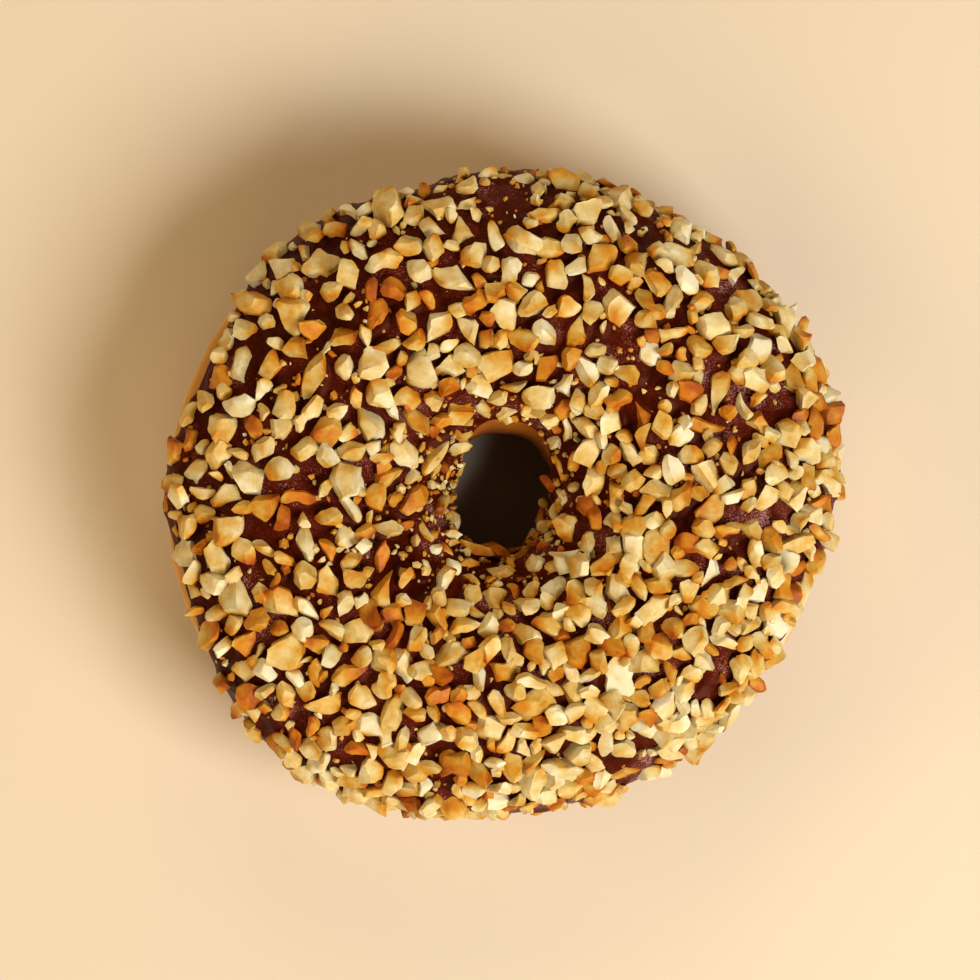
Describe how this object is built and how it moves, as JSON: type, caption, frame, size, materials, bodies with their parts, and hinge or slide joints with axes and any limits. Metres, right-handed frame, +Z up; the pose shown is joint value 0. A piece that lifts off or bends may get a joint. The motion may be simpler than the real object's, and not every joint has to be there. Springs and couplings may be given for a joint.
{
  "type": "chocolate nut doughnut",
  "caption": "Ring doughnut with a flat underside, its top dipped in dark chocolate icing and covered all over in chopped roasted peanuts",
  "frame": {"origin": "on the floor, under the middle of the doughnut's bounding box", "axes": "+Z up through the hole, +X and +Y across the ring as the picture shows it from above, +X to its right and +Y to its top"},
  "size_m": [0.0912, 0.0873, 0.0328],
  "materials": {
    "fried_dough": "soft satin crust of fried dough, golden brown with a paler band at the waist",
    "chocolate_icing": "dark chocolate icing, satin, with roasted peanut pieces from cream to orange-brown pressed into it"
  },
  "bodies": {
    "root": {"dough": "fried_dough", "icing_with_nuts": "chocolate_icing"}
  },
  "joints": []
}
